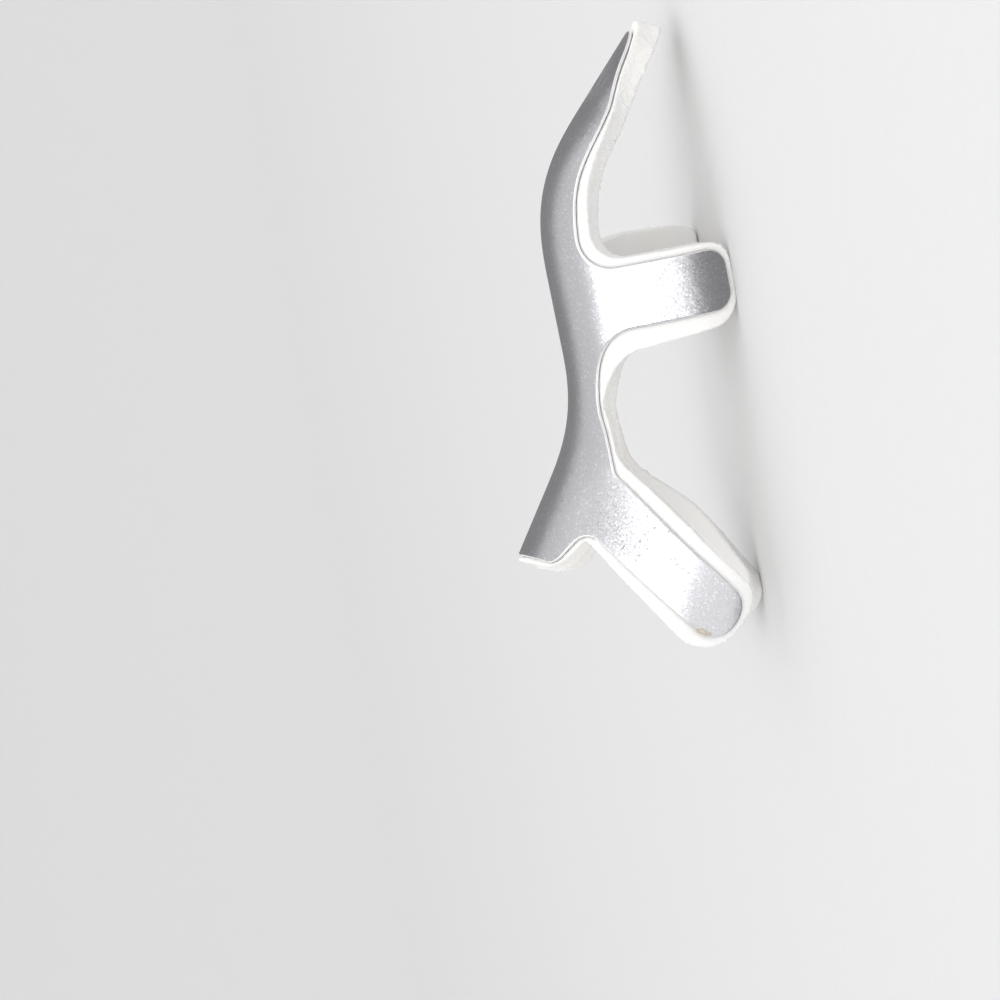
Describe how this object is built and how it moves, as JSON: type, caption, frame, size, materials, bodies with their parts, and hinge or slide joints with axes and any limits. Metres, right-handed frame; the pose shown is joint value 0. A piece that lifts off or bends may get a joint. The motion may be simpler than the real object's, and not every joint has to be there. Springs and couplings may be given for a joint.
{
  "type": "finger splint",
  "caption": "Formed aluminium finger splint with a bonded foam liner: a tongue under the fingertip, arms that wrap the finger and splayed legs at the knuckle.",
  "frame": {"origin": "bottom centre of the bounding box: the surface that the splint rests on, open side down", "axes": "+X towards the fingertip end, +Z towards the palm side of the sheet, +Y to the side of the arm that the picture shows behind the finger"},
  "size_m": [0.1048, 0.0394, 0.0407],
  "materials": {
    "satin_aluminium": "bare sheet, satin with a fine bright sparkle, sheared edges, a small glue stain on one leg",
    "white_foam": "matte closed-cell foam sheet, die cut, fine pores on the cut edges"
  },
  "bodies": {
    "root": {"aluminium_shell": "satin_aluminium", "foam_liner": "white_foam"}
  },
  "joints": []
}
